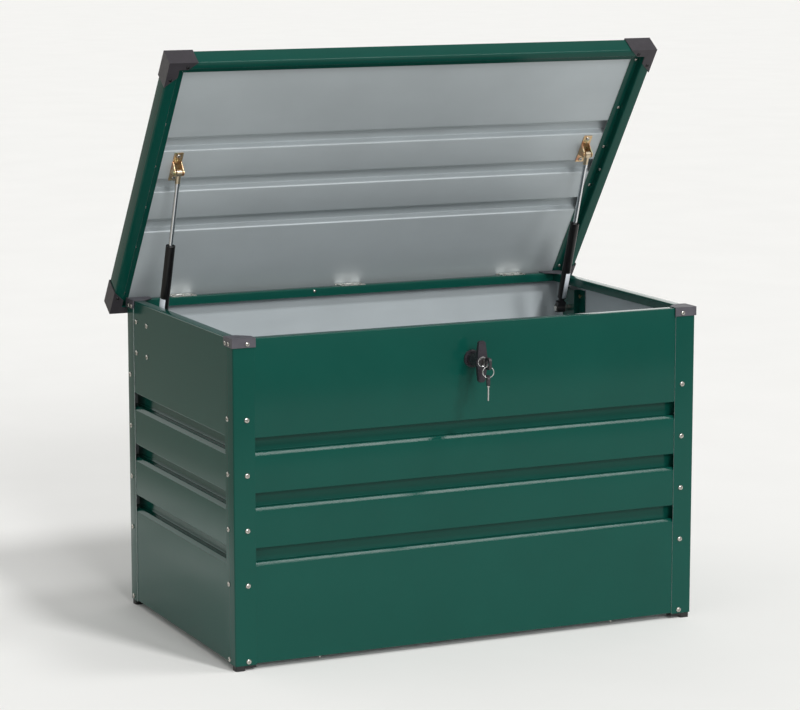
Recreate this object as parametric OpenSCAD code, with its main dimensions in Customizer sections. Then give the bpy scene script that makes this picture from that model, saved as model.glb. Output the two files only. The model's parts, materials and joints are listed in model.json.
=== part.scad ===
// Sheet-metal deck storage box with a hinged lid, held open by two gas struts.
// Millimetres. Origin: on the floor, under the middle of the whole object's extent. +X right, +Y rear, +Z up.
// The box is drawn with its lid fully open.

/* [Box] */
// Width over the corner posts
body_w = 936; // [800:1:1200]
// Depth over the corner posts
body_d = 553; // [480:1:700]
// Height of the rim above the floor
rim_z = 601.5; // [560:0.5:700]
// Height of the wall panels' lower edge above the floor
wall_z = 11; // [8:0.5:20]
// Thickness of the wall, lid and floor sheet
sheet = 1.0; // [0.6:0.1:1.2]
// Thickness of the corner posts
post_t = 1.2; // [1:0.1:1.5]
// Width of a post's flange on the front and the rear
post_face = 41; // [38:1:50]
// Width of a front post's flange on the side
post_side = 40; // [36:1:45]
// Width of a rear post's flange on the side
rear_post_side = 34; // [30:1:38]

/* [Pressed grooves] */
// Height of the lowest groove's middle
groove_z = 206; // [180:1:220]
// Distance from groove to groove
groove_pitch = 100; // [90:1:110]
// Height of each groove
groove_h = 32; // [20:1:40]
// Depth of each groove
groove_d = 17.5; // [10:0.5:18]

/* [Lid] */
// Width over the corner caps
lid_w = 1000; // [990:1:1300]
// Length over the corner caps, rear to front
lid_l = 613; // [600:1:780]
// Thickness over the corner caps
lid_t = 37.6; // [34:0.2:44]
// Angle to which the struts open the lid
lid_open = 54.85; // [45:0.05:60]
// Width of each raised rib
rib_w = 32; // [20:1:40]
// Distance from rib to rib
rib_pitch = 100; // [90:1:110]

/* [Struts] */
// Sideways distance of each strut from the middle
strut_x = 430; // [425:1:432]
// Radius of the cylinder
cylinder_r = 9; // [8:0.5:10]
// Length of the cylinder from the lower pivot
cylinder_l = 190; // [180:1:200]
// Radius of the rod
rod_r = 4; // [3:0.5:5]

/* [Lock] */
// Height of the lock's axis
lock_z = 536; // [510:1:545]
// Height of the wing handle
wing_h = 76; // [60:1:80]
// Width of the wing handle at its middle
wing_w = 20.4; // [20:0.2:24]
// Distance from the wall to the ridge of the handle
wing_out = 44.5; // [40:0.5:50]

/* [Hidden] */
$fn = 48;

// Colours
coat = [0.06, 0.27, 0.20];
zinc = [0.68, 0.70, 0.71];
cap_grey = [0.29, 0.28, 0.31];
lid_cap_grey = [0.21, 0.20, 0.22];
bright = [0.80, 0.80, 0.80];
yellow_zinc = [0.72, 0.60, 0.35];
black = [0.05, 0.05, 0.05];

// The extent runs from the key to the open lid, so the box's middle is behind the origin
box_y = 17.2;

// Walls
fold_w = 20;
rim_lip = 16.5;
wall_in = post_t + sheet;
end_wall_l = body_w - 2 * (post_t + fold_w + 0.5);
side_wall_l = body_d - 2 * post_t;
groove_count = 3;

// Screws
m4_r = 2;
m4_hole_r = 2.2;
m4_head_r = 4.75;
m4_head_h = 2.6;
nut_af = 7;
nut_h = 3.2;
tapping_r = 1.6;
tapping_hole_r = 1.7;
tapping_l = 7;
small_head_r = 3.5;
small_head_h = 2;
floor_screw_in = 11;
floor_screws_end = [-300, 300];
floor_screws_side = [-150, 150];

// Rows of screws in the posts: heights, and distances from the corner
post_screw_z = [17, 156, 256, 356, 456];
end_screw_in = 25.5;
side_screw_in = 27.6;
rear_side_screw_in = 14.6;

// Box caps
cap_t = 2;
cap_top_t = 1.5;
cap_h = 17;
cap_face = 43;
cap_side = 40;
cap_screw_z = rim_z - 9.5;
cap_end_screw_in = 27;
cap_side_screws_in = [14.5, 30];
cap_head_r = 4;
cap_head_h = 2.2;

// Hinges
hinge_x = [-358, 0, 358];
leaf_w = 52;
leaf_t = 1.5;
lid_leaf_t = 1.4;
barrel_r = 3.2;
pin_r = 1.5;
hinge_y = body_d / 2 + 9;
hinge_z = rim_z - 1.3;
leaf_front = -29;
leaf_row_y = leaf_front + 8;
leaf_screw_pitch = 19;
knuckle_gap = 0.3;

// Lid, measured from the middle of its rear lower edge, closed
cap_inset = 1.6;
lid_lip_z = rim_z - 15.5;
lid_rear_y = body_d / 2 + 34;
lip_w = 1.5;
ledge_w = 17.4;
rail_top = lid_t - 1.5;
rail_x = lid_w / 2 - cap_inset;
riser_x = lid_w / 2 - 22;
ledge_x = lid_w / 2 - 39;
rail_front = lid_l - cap_inset;
riser_front = lid_l - 16.5;
ledge_front = lid_l - 36;
rear_face = cap_inset;
rear_ledge = 20;
panel_x = riser_x - 1.5;
panel_rear = rear_face + sheet + 1.4;
panel_front = riser_front - 1.5;
panel_w = ledge_w + sheet;
rib_top = rail_top - sheet - 0.5;
lid_cap_leg = 55.5;

// Strut pivots: the lower one on the box, the upper one on the lid
bracket_y = body_d / 2 - 78;
stud_y = body_d / 2 - 82;
stud_z = rim_z - 63.5;
eye_v = 352.5;
eye_w = 0.5;
eye_closed = [lid_rear_y - eye_v, lid_lip_z + eye_w];
eye_open = swung(eye_closed, lid_open);
strut_open_l = norm(eye_open - [stud_y, stud_z]);
strut_lean = atan2(stud_y - eye_open[0], eye_open[1] - stud_z);
hat_h = 12;
hat_w = 44;
bracket_t = 1.5;
stud_r = 4;
eye_t = 10;
arm_t = 1.5;
arm_gap = 15;

// Lock
wall_face_y = -body_d / 2 + post_t;
core_r = 7.5;
spindle_r = 5;
sleeve_r = 9;
key_head_t = 5;
key_out = wing_out + 22.5;
key_hole_r = 6.5;
ring_r = 10;
wire_r = 0.8;
wire_drop = key_hole_r - wire_r - 0.45;
ring_turn = -20;

// A point [y, z] of the closed lid, after the lid has opened by an angle
function swung(p, angle) = [
    hinge_y + (p[0] - hinge_y) * cos(angle) + (p[1] - hinge_z) * sin(angle),
    hinge_z - (p[0] - hinge_y) * sin(angle) + (p[1] - hinge_z) * cos(angle)];

// Outline of a folded sheet: a path of corners, and the same path moved sideways by the thickness
function across(a, b) = [b[1] - a[1], a[0] - b[0]] / norm(b - a);
function moved(path, t) = [
    for (i = [0 : len(path) - 1])
        let (before = across(path[max(i - 1, 0)], path[max(i, 1)]))
        let (after = across(path[min(i, len(path) - 2)], path[min(i + 1, len(path) - 1)]))
        path[i] + (before + after) * t / (1 + before * after)];
function reversed(path) = [for (i = [len(path) - 1 : -1 : 0]) path[i]];
function folded(path, t) = concat(path, reversed(moved(path, t)));

// Extrudes a [y, z] outline along X, centred
module along_x(length) {
    rotate([90, 0, 90]) linear_extrude(length, center = true) children();
}

// Extrudes an [x, z] outline along Y, from y0 to y1
module along_y(y0, y1) {
    translate([0, y1, 0]) rotate([90, 0, 0]) linear_extrude(y1 - y0) children();
}

// Wall frames: X along the wall, Y inward from the posts' outer face. end is -1 front, 1 rear
module on_end(end) {
    translate([0, box_y, 0]) mirror([0, end > 0 ? 1 : 0, 0]) translate([0, -body_d / 2, 0]) children();
}

module on_side(side) {
    mirror([side < 0 ? 1 : 0, 0, 0]) translate([body_w / 2, box_y, 0]) rotate([0, 0, 90]) children();
}

// Corner frame: X and Y inward from the posts' outer faces
module at_corner(side, end) {
    translate([0, box_y, 0]) mirror([side > 0 ? 1 : 0, 0, 0]) mirror([0, end > 0 ? 1 : 0, 0])
        translate([-body_w / 2, -body_d / 2, 0]) children();
}

// Lid frame: Y is zero at the rear edge and negative forward, Z is zero at the lip
module on_lid() {
    translate([0, box_y + hinge_y, hinge_z]) rotate([-lid_open, 0, 0])
        translate([0, lid_rear_y - hinge_y, lid_lip_z - hinge_z]) children();
}

// Strut frame: Z along the strut, from the lower pivot
module on_strut(side) {
    translate([side * strut_x, box_y + stud_y, stud_z]) rotate([strut_lean, 0, 0]) children();
}

// Lock frame: on the lock's axis at the wall's outer face, -Y outward
module on_lock() {
    translate([0, box_y + wall_face_y, lock_z]) children();
}

// Fasteners: the head stands up from z = 0 and the shank goes down
module pan_screw(head_r, head_h, shank_r, shank_l) {
    difference() {
        union() {
            rotate_extrude()
                polygon([[0, 0], [head_r, 0], [head_r, head_h * 0.4], [head_r * 0.88, head_h * 0.75],
                    [head_r * 0.6, head_h * 0.95], [head_r * 0.25, head_h], [0, head_h]]);
            translate([0, 0, -shank_l]) cylinder(r = shank_r, h = shank_l + head_h / 4);
        }
        for (turn = [0, 90])
            rotate([0, 0, turn]) translate([-head_r * 0.55, -head_r * 0.11, head_h * 0.5])
                cube([head_r * 1.1, head_r * 0.22, head_h]);
    }
}

module hex_nut(af, height, bore_r) {
    difference() {
        cylinder(r = af / 2 / cos(30), h = height, $fn = 6);
        translate([0, 0, -1]) cylinder(r = bore_r, h = height + 2);
    }
}

// A hole through the wall, along Y of a wall frame
module wall_hole(x, z, r) {
    translate([x, -10, z]) rotate([-90, 0, 0]) cylinder(r = r, h = 30);
}

// A screw on a wall frame's face at depth y, its head outward
module wall_screw(x, y, z) {
    translate([x, y, z]) rotate([90, 0, 0]) children();
}

// ---- Box ----

function groove_path(i) = let (z = groove_z + i * groove_pitch) [
    [0, z - groove_h / 2], [groove_d, z - groove_h / 2], [groove_d, z + groove_h / 2], [0, z + groove_h / 2]];

// Outer face of a wall sheet, [depth, z], from its lower fold to its rim's inner lip
wall_path = concat(
    [[fold_w, wall_z], [0, wall_z]],
    [for (i = [0 : groove_count - 1]) each groove_path(i)],
    [[0, rim_z], [fold_w, rim_z], [fold_w, rim_z - rim_lip]]);

module wall_sheet(length) {
    translate([0, post_t, 0]) along_x(length) polygon(folded(wall_path, sheet));
}

// Holes for the floor's screws at places along a wall frame
module floor_screw_holes(places) {
    for (x = places)
        translate([x, floor_screw_in, 0]) cylinder(r = tapping_hole_r, h = 2 * fold_w);
}

// Holes that a front or rear panel shares with its posts and caps
module end_holes() {
    for (side = [-1, 1]) {
        for (z = post_screw_z)
            wall_hole(side * (body_w / 2 - end_screw_in), z, m4_hole_r);
        wall_hole(side * (body_w / 2 - cap_end_screw_in), cap_screw_z, tapping_hole_r);
    }
    floor_screw_holes(floor_screws_end);
}

module side_holes() {
    for (z = post_screw_z) {
        wall_hole(-body_d / 2 + side_screw_in, z, m4_hole_r);
        wall_hole(body_d / 2 - rear_side_screw_in, z, m4_hole_r);
    }
    for (end = [-1, 1])
        for (inset = cap_side_screws_in)
            wall_hole(end * (body_d / 2 - inset), cap_screw_z, tapping_hole_r);
    for (spot = bracket_screw_spots)
        wall_hole(spot[0], spot[1], m4_hole_r);
    floor_screw_holes(floor_screws_side);
}

module front_panel() {
    color(coat) on_end(-1) difference() {
        wall_sheet(end_wall_l);
        end_holes();
        wall_hole(0, lock_z, sleeve_r + 0.2);
    }
}

module rear_panel() {
    color(coat) on_end(1) difference() {
        wall_sheet(end_wall_l);
        end_holes();
        for (x = hinge_x)
            for (i = [-1 : 1])
                translate([x + i * leaf_screw_pitch, leaf_screw_in, rim_z - 10])
                    cylinder(r = tapping_hole_r, h = 20);
        rim_screw_hole();
    }
}

module side_panel(side) {
    color(coat) on_side(side) difference() {
        wall_sheet(side_wall_l);
        side_holes();
    }
}

// Flat floor with shallow pressed ribs, resting on the walls' lower folds
floor_gap = 6.5;
floor_rib_h = 4;
floor_rib_w = 30;
floor_rib_pitch = 150;
floor_z = wall_z + sheet;
floor_half_d = body_d / 2 - floor_gap;
function floor_rib(i) = let (y = i * floor_rib_pitch) [
    [y - floor_rib_w / 2, floor_z], [y - floor_rib_w / 2 + floor_rib_h, floor_z + floor_rib_h],
    [y + floor_rib_w / 2 - floor_rib_h, floor_z + floor_rib_h], [y + floor_rib_w / 2, floor_z]];
floor_path = concat(
    [[-floor_half_d, floor_z]],
    [for (i = [-1 : 1]) each floor_rib(i)],
    [[floor_half_d, floor_z]]);

module floor_panel() {
    color(zinc) difference() {
        translate([0, box_y, 0]) along_x(body_w - 2 * floor_gap) polygon(folded(floor_path, -sheet));
        for (end = [-1, 1])
            on_end(end) floor_screw_holes(floor_screws_end);
        for (side = [-1, 1])
            on_side(side) floor_screw_holes(floor_screws_side);
    }
}

module floor_screw() {
    translate([0, floor_screw_in, floor_z + sheet])
        pan_screw(small_head_r, small_head_h, tapping_r, tapping_l);
}

module floor_screws() {
    color(bright) {
        for (end = [-1, 1])
            for (x = floor_screws_end)
                on_end(end) translate([x, 0, 0]) floor_screw();
        for (side = [-1, 1])
            for (x = floor_screws_side)
                on_side(side) translate([x, 0, 0]) floor_screw();
    }
}

// L-section post with its lower outer edge cut back a little
module post(side, end) {
    leg = end < 0 ? post_side : rear_post_side;
    screw_in = end < 0 ? side_screw_in : rear_side_screw_in;
    foot_cut = 3;
    color(coat) at_corner(side, end) difference() {
        translate([0, 0, wall_z - 1]) linear_extrude(rim_z - wall_z + 1)
            polygon([[0, 0], [post_face, 0], [post_face, post_t], [post_t, post_t], [post_t, leg], [0, leg]]);
        translate([post_face, 0, wall_z - 1]) rotate([0, 45, 0])
            cube([foot_cut, 10, foot_cut], center = true);
        translate([0, leg, wall_z - 1]) rotate([45, 0, 0])
            cube([10, foot_cut, foot_cut], center = true);
        for (z = post_screw_z) {
            wall_hole(end_screw_in, z, m4_hole_r);
            side_wall_hole(screw_in, z, m4_hole_r);
        }
        wall_hole(cap_end_screw_in, cap_screw_z, tapping_hole_r);
        for (inset = cap_side_screws_in)
            side_wall_hole(inset, cap_screw_z, tapping_hole_r);
    }
}

// A hole along X of a corner frame
module side_wall_hole(y, z, r) {
    translate([-10, y, z]) rotate([0, 90, 0]) cylinder(r = r, h = 30);
}

// Plastic cap over a rim corner: two skirts and a top with its inner corner cut across
module rim_cap(side, end) {
    round_r = 6;
    color(cap_grey) at_corner(side, end) difference() {
        union() {
            translate([0, 0, rim_z]) linear_extrude(cap_top_t)
                polygon([[-cap_t, -cap_t], [cap_face, -cap_t], [cap_face, post_t + fold_w],
                    [post_t + fold_w, cap_side], [-cap_t, cap_side]]);
            translate([-cap_t, -cap_t, rim_z - cap_h + cap_top_t])
                cube([cap_face + cap_t, cap_t, cap_h]);
            translate([-cap_t, 0, rim_z + cap_top_t]) rotate([90, 0, 90]) linear_extrude(cap_t)
                skirt_outline(cap_side, cap_h, round_r);
        }
        wall_hole(cap_end_screw_in, cap_screw_z, tapping_hole_r);
        for (inset = cap_side_screws_in)
            side_wall_hole(inset, cap_screw_z, tapping_hole_r);
    }
}

// Outline of a skirt hanging from z = 0, with its far lower corner rounded
module skirt_outline(length, height, r) {
    translate([-cap_t, -height]) square([length + cap_t - r, height]);
    translate([-cap_t, -height + r]) square([length + cap_t, height - r]);
    translate([length - r, -height + r]) circle(r = r);
}

// Moulded foot: a pad under the post and a thinner arm along the end wall
module foot(side, end) {
    pad_w = 19;
    pad_in = 1.5;
    pad_r = 4;
    foot_h = wall_z - 1;
    arm_low = 4.5;
    arm_w = 16;
    arm_l = 24.5;
    at_corner(side, end) {
        translate([pad_in, pad_in, 0]) linear_extrude(foot_h) rounded_square([pad_w, pad_w], pad_r);
        translate([pad_in + pad_w - pad_r, 2 * pad_in, arm_low]) cube([arm_l, arm_w, foot_h - arm_low]);
    }
}

module rounded_square(size, r) {
    translate([r, 0]) square([size[0] - 2 * r, size[1]]);
    translate([0, r]) square([size[0], size[1] - 2 * r]);
    for (x = [r, size[0] - r])
        for (y = [r, size[1] - r])
            translate([x, y]) circle(r = r);
}

module feet() {
    color(black)
        for (side = [-1, 1])
            for (end = [-1, 1])
                foot(side, end);
}

// One row of screws or nuts on each post flange; depth is where they sit
module each_post_screw(depth) {
    for (end = [-1, 1])
        for (side = [-1, 1])
            for (z = post_screw_z) {
                side_in = end < 0 ? side_screw_in : rear_side_screw_in;
                on_end(end) wall_screw(side * (body_w / 2 - end_screw_in), depth, z) children();
                on_side(side) wall_screw(end * (body_d / 2 - side_in), depth, z) children();
            }
}

module post_screws() {
    color(bright) each_post_screw(0) pan_screw(m4_head_r, m4_head_h, m4_r, wall_in + nut_h + 1.6);
}

module post_nuts() {
    color(bright) each_post_screw(wall_in + nut_h) hex_nut(nut_af, nut_h, m4_r + 0.05);
}

module cap_screws() {
    color(bright)
        for (side = [-1, 1])
            for (end = [-1, 1]) {
                on_end(end) wall_screw(side * (body_w / 2 - cap_end_screw_in), -cap_t, cap_screw_z)
                    pan_screw(cap_head_r, cap_head_h, tapping_r, tapping_l + 1);
                for (inset = cap_side_screws_in)
                    on_side(side) wall_screw(end * (body_d / 2 - inset), -cap_t, cap_screw_z)
                        pan_screw(cap_head_r, cap_head_h, tapping_r, tapping_l + 1);
            }
}

// Small screw in the inner lip of the rear rim
rim_screw_x = -85;
rim_screw_z = rim_z - 6;

module rim_screw_hole() {
    translate([rim_screw_x, post_t + fold_w - 5, rim_screw_z]) rotate([-90, 0, 0])
        cylinder(r = tapping_hole_r, h = 10);
}

module rear_rim_screw() {
    color(bright) on_end(1) translate([rim_screw_x, post_t + fold_w, rim_screw_z]) rotate([-90, 0, 0])
        pan_screw(3, 1.6, tapping_r, 6);
}

// ---- Strut mountings in the box ----

bracket_half_w = 47;
bracket_low = rim_z - 119.5;
bracket_high = rim_z - 25.5;
bracket_screw_spots = [for (dy = [-29, 29]) for (dz = [-98.5, -38.5]) [bracket_y + dy, rim_z + dz]];
hat_path = [
    [-bracket_half_w, 0], [-hat_w / 2, 0], [-hat_w / 2, hat_h],
    [hat_w / 2, hat_h], [hat_w / 2, 0], [bracket_half_w, 0]];

// Hat-section bracket, drawn against the inner face of a side wall
module wall_bracket(side) {
    corner_cut = 16;
    color(coat) on_side(side) difference() {
        translate([bracket_y, wall_in, bracket_low]) linear_extrude(bracket_high - bracket_low)
            polygon(folded(hat_path, -bracket_t));
        for (spot = bracket_screw_spots)
            wall_hole(spot[0], spot[1], m4_hole_r);
        translate([bracket_y - bracket_half_w, wall_in - 1, bracket_high]) rotate([0, 45, 0])
            cube([corner_cut, 4, corner_cut], center = true);
        translate([stud_y, wall_in, stud_z]) rotate([-90, 0, 0]) cylinder(r = stud_r + 0.1, h = 20);
    }
}

module wall_bracket_screws() {
    color(bright)
        for (side = [-1, 1])
            for (spot = bracket_screw_spots)
                on_side(side) wall_screw(spot[0], post_t, spot[1])
                    pan_screw(m4_head_r, m4_head_h, m4_r, sheet + bracket_t + nut_h + 1.5);
}

module wall_bracket_nuts() {
    color(bright)
        for (side = [-1, 1])
            for (spot = bracket_screw_spots)
                on_side(side) wall_screw(spot[0], wall_in + bracket_t + nut_h, spot[1])
                    hex_nut(nut_af, nut_h, m4_r + 0.05);
}

// Stud through the hat, with a hexagonal collar and a retaining head
stud_tip = body_w / 2 - strut_x + 9;
module strut_stud(side) {
    hat_face = wall_in + hat_h + bracket_t;
    back_nut_t = 3;
    stud_foot = hat_face - bracket_t - back_nut_t;
    collar_end = stud_tip - 18.5;
    on_side(side) translate([stud_y, 0, stud_z]) rotate([-90, 0, 0]) {
        translate([0, 0, stud_foot]) cylinder(r = stud_r, h = stud_tip - stud_foot);
        translate([0, 0, hat_face]) cylinder(r = 7, h = collar_end - hat_face, $fn = 6);
        translate([0, 0, stud_foot]) cylinder(r = 6.5, h = back_nut_t, $fn = 6);
        translate([0, 0, stud_tip]) cylinder(r = 5.5, h = 1.6);
    }
}

module strut_studs() {
    color(bright)
        for (side = [-1, 1])
            strut_stud(side);
}

// ---- Hinges ----

leaf_screw_in = body_d / 2 - hinge_y - leaf_row_y;

// Frame on the hinge axis of hinge i
module at_hinge(i) {
    translate([hinge_x[i], box_y + hinge_y, hinge_z]) children();
}

module knuckle(length, bore_r) {
    rotate([0, 90, 0]) difference() {
        cylinder(r = barrel_r, h = length, center = true);
        cylinder(r = bore_r, h = length + 2, center = true);
    }
}

// Leaf on the rim, with the two outer knuckles
module hinge_box_leaf(i) {
    side_l = leaf_w / 3 - knuckle_gap;
    leaf_flat = 20;
    plate_z = rim_z - hinge_z;
    color(bright) at_hinge(i) difference() {
        union() {
            for (end = [-1, 1])
                translate([end * (leaf_w - side_l) / 2, 0, 0]) {
                    knuckle(side_l, pin_r + 0.02);
                    translate([-side_l / 2, leaf_front + leaf_flat - 4, plate_z])
                        cube([side_l, 2.5 - leaf_front - leaf_flat, leaf_t]);
                }
            translate([-leaf_w / 2, leaf_front, plate_z]) cube([leaf_w, leaf_flat, leaf_t]);
        }
        for (k = [-1 : 1])
            translate([k * leaf_screw_pitch, leaf_row_y, plate_z - 5])
                cylinder(r = tapping_hole_r, h = 20);
    }
}

// Leaf under the lid's rear ledge, with the middle knuckle
module hinge_lid_leaf(i) {
    middle_l = leaf_w / 3 - knuckle_gap;
    plate_top = barrel_r - 0.05;
    leaf_depth = 21;
    color(bright) at_hinge(i) rotate([-lid_open, 0, 0]) difference() {
        union() {
            knuckle(middle_l, pin_r + 0.05);
            translate([-middle_l / 2, 0.4, plate_top - lid_leaf_t]) cube([middle_l, 8, lid_leaf_t]);
            translate([-leaf_w / 2, 4, plate_top - lid_leaf_t]) cube([leaf_w, leaf_depth - 4, lid_leaf_t]);
        }
        for (k = [-1 : 1])
            translate([k * leaf_screw_pitch, lid_leaf_screw_y, 0]) cylinder(r = tapping_hole_r, h = 20);
    }
}

lid_leaf_screw_y = 13;

module hinge_pins() {
    color(bright)
        for (i = [0 : 2])
            at_hinge(i) rotate([0, 90, 0]) {
                cylinder(r = pin_r, h = leaf_w + 0.6, center = true);
                for (end = [-1, 1])
                    translate([0, 0, end * (leaf_w / 2 + 0.7)]) cylinder(r = 2.6, h = 0.8, center = true);
            }
}

module hinge_box_screws() {
    color(bright)
        for (i = [0 : 2])
            for (k = [-1 : 1])
                at_hinge(i) translate([k * leaf_screw_pitch, leaf_row_y, rim_z - hinge_z + leaf_t])
                    pan_screw(3.4, 1.1, tapping_r, 8);
}

module hinge_lid_screws() {
    color(bright)
        for (i = [0 : 2])
            at_hinge(i) rotate([-lid_open, 0, 0])
                for (k = [-1 : 1])
                    translate([k * leaf_screw_pitch, lid_leaf_screw_y, barrel_r - 0.05 - lid_leaf_t])
                        mirror([0, 0, 1]) pan_screw(3.4, 1.3, tapping_r, 7);
}

// ---- Lid ----

function rib_path(i) = let (v = lid_l / 2 + i * rib_pitch) [
    [-v + rib_w / 2, panel_w], [-v + rib_w / 2, rib_top - sheet],
    [-v - rib_w / 2, rib_top - sheet], [-v - rib_w / 2, panel_w]];

// Lower face of the lid sheet, [y, z] of the lid frame, from the rear to the front
panel_path = concat(
    [[-panel_rear, panel_w]],
    [for (i = [-1 : 1]) each rib_path(i)],
    [[-panel_front, panel_w]]);

module lid_panel() {
    color(zinc) on_lid() difference() {
        along_x(2 * panel_x) polygon(folded(panel_path, sheet));
        for (side = [-1, 1]) {
            for (v = rail_screw_v)
                lid_hole(side * rail_screw_x, v);
            for (v = bracket_screw_v)
                lid_hole(side * strut_x, v);
        }
        for (x = hinge_x)
            for (k = [-1 : 1])
                lid_hole(x + k * leaf_screw_pitch, lid_rear_y - hinge_y - lid_leaf_screw_y);
    }
}

// A hole through the ledge and the panel's flats
module lid_hole(x, v) {
    translate([x, -v, ledge_w - 5]) cylinder(r = tapping_hole_r, h = 10);
}

rail_screw_x = lid_w / 2 - 26.4;
rail_head_h = 2.2;
rail_screw_v = [38, 157, 257, 357, 457, 576];
bracket_screw_v = [327, 379];
riser_screw_v = 304.5;

// Section of a side rail, [x, z], from its ledge round to its top flange
side_rail_path = [
    [ledge_x, ledge_w], [riser_x, ledge_w], [riser_x, lip_w], [rail_x, lip_w],
    [rail_x, rail_top], [ledge_x, rail_top]];

// Plan of the joint between the front rail and a side rail, [x, y], from outside to inside
joint_path = [[rail_x, -rail_front], [riser_x, -riser_front], [ledge_x, -ledge_front]];

// Side rail, closed at the rear by the rear rail and joined to the front rail
module lid_side_rail(side) {
    color(coat) on_lid() mirror([side < 0 ? 1 : 0, 0, 0]) difference() {
        along_y(-rail_front, -rear_face - sheet) polygon(folded(side_rail_path, -sheet));
        translate([0, 0, -5]) linear_extrude(lid_t + 10)
            polygon(concat([[ledge_x - 10, -rail_front - 10], [rail_x, -rail_front - 10]], joint_path,
                [[ledge_x - 10, -ledge_front]]));
        for (v = rail_screw_v)
            lid_hole(rail_screw_x, v);
        translate([riser_x - 5, -riser_screw_v, ledge_w / 2]) rotate([0, 90, 0])
            cylinder(r = tapping_hole_r, h = 10);
        lid_cap_screw_holes();
    }
}

front_rail_path = [
    [-ledge_front, ledge_w], [-riser_front, ledge_w], [-riser_front, lip_w], [-rail_front, lip_w],
    [-rail_front, rail_top], [-ledge_front, rail_top]];

module lid_front_rail() {
    half = concat([[ledge_x, -ledge_front + 10]], reversed(joint_path), [[rail_x, -rail_front - 10]]);
    color(coat) on_lid() difference() {
        intersection() {
            along_x(2 * rail_x) polygon(folded(front_rail_path, sheet));
            translate([0, 0, -5]) linear_extrude(lid_t + 10)
                polygon(concat(half, [for (p = reversed(half)) [-p[0], p[1]]]));
        }
        lid_cap_screw_holes();
    }
}

// Rear rail: a dropped face with a ledge for the hinges and a top flange
module lid_rear_rail() {
    flange_x = ledge_x - 0.2;
    top_flange_w = 37;
    color(coat) on_lid() difference() {
        union() {
            translate([-rail_x, -rear_face - sheet, lip_w]) cube([2 * rail_x, sheet, rail_top - lip_w]);
            translate([-flange_x, -rear_ledge, ledge_w]) cube([2 * flange_x, rear_ledge - rear_face, sheet]);
            translate([-flange_x, -rear_face - top_flange_w, rail_top - sheet])
                cube([2 * flange_x, top_flange_w, sheet]);
        }
        for (x = hinge_x)
            for (k = [-1 : 1])
                lid_hole(x + k * leaf_screw_pitch, lid_rear_y - hinge_y - lid_leaf_screw_y);
    }
}

// Lid corner frame: X and Y inward from the caps' outer faces. end is -1 front, 1 rear
module at_lid_corner(side, end) {
    translate([0, end > 0 ? 0 : -lid_l, 0]) mirror([0, end > 0 ? 1 : 0, 0])
        mirror([side > 0 ? 1 : 0, 0, 0]) translate([-lid_w / 2, 0, 0]) children();
}

// Screws through the lip of a lid cap: [x, y] in the lid corner frame
function lid_cap_screws_at(end) = end < 0 ? [[9, 39], [37, 11]] : [[9, 39]];

module lid_cap_screw_holes() {
    for (side = [-1, 1])
        for (end = [-1, 1])
            for (spot = lid_cap_screws_at(end))
                at_lid_corner(side, end) translate([spot[0], spot[1], -5])
                    cylinder(r = tapping_hole_r, h = 12);
}

// Plastic cap over a lid corner: skirts, top with its inner corner cut, and a lip with angled ends
module lid_cap(side, end) {
    side_lip = lid_w / 2 - riser_x;
    end_lip = end < 0 ? lid_l - riser_front : 15;
    top_w = 39;
    color(lid_cap_grey) on_lid() at_lid_corner(side, end) difference() {
        union() {
            translate([0, 0, rail_top]) linear_extrude(lid_t - rail_top)
                polygon([[0, 0], [lid_cap_leg, 0], [lid_cap_leg, top_w],
                    [top_w, lid_cap_leg], [0, lid_cap_leg]]);
            cube([lid_cap_leg, cap_inset, lid_t]);
            cube([cap_inset, lid_cap_leg, lid_t]);
            linear_extrude(lip_w)
                polygon([[0, 0], [lid_cap_leg, 0], [lid_cap_leg - end_lip, end_lip], [side_lip, end_lip],
                    [side_lip, lid_cap_leg - side_lip], [0, lid_cap_leg]]);
        }
        for (spot = lid_cap_screws_at(end))
            translate([spot[0], spot[1], -1]) cylinder(r = tapping_hole_r, h = 8);
    }
}

module lid_cap_screws() {
    color(black) on_lid()
        for (side = [-1, 1])
            for (end = [-1, 1])
                for (spot = lid_cap_screws_at(end))
                    at_lid_corner(side, end) translate([spot[0], spot[1], 0])
                        mirror([0, 0, 1]) pan_screw(small_head_r, 1.6, tapping_r, tapping_l);
}

module lid_rail_screws() {
    color(bright) on_lid()
        for (side = [-1, 1]) {
            for (v = rail_screw_v)
                translate([side * rail_screw_x, -v, ledge_w]) mirror([0, 0, 1])
                    pan_screw(small_head_r, rail_head_h, tapping_r, tapping_l);
            mirror([side < 0 ? 1 : 0, 0, 0]) translate([riser_x, -riser_screw_v, ledge_w / 2])
                rotate([0, -90, 0]) pan_screw(small_head_r, rail_head_h, tapping_r, tapping_l);
        }
}

// Bracket under the lid: a plate with two arms, each with a stub of the pivot
plate_t = 1.6;
stub_r = 3;
stub_l = 1.9;
module lid_bracket(side) {
    plate_w = 18;
    plate_rear = 320;
    plate_front = 386;
    color(yellow_zinc) on_lid() translate([side * strut_x, 0, 0]) difference() {
        union() {
            translate([-plate_w / 2, -plate_front, panel_w - plate_t])
                cube([plate_w, plate_front - plate_rear, plate_t]);
            for (arm = [-1, 1])
                mirror([arm < 0 ? 1 : 0, 0, 0]) {
                    translate([arm_gap / 2 + arm_t / 2, 0, 0]) along_x(arm_t) arm_outline();
                    translate([arm_gap / 2 - stub_l, -eye_v, eye_w]) rotate([0, 90, 0])
                        cylinder(r = stub_r, h = stub_l + arm_t / 2);
                    translate([arm_gap / 2 + arm_t, -eye_v, eye_w]) rotate([0, 90, 0])
                        cylinder(r = 4.5, h = plate_t);
                }
        }
        for (v = bracket_screw_v)
            translate([0, -v, panel_w - 5]) cylinder(r = tapping_hole_r, h = 10);
    }
}

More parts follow.
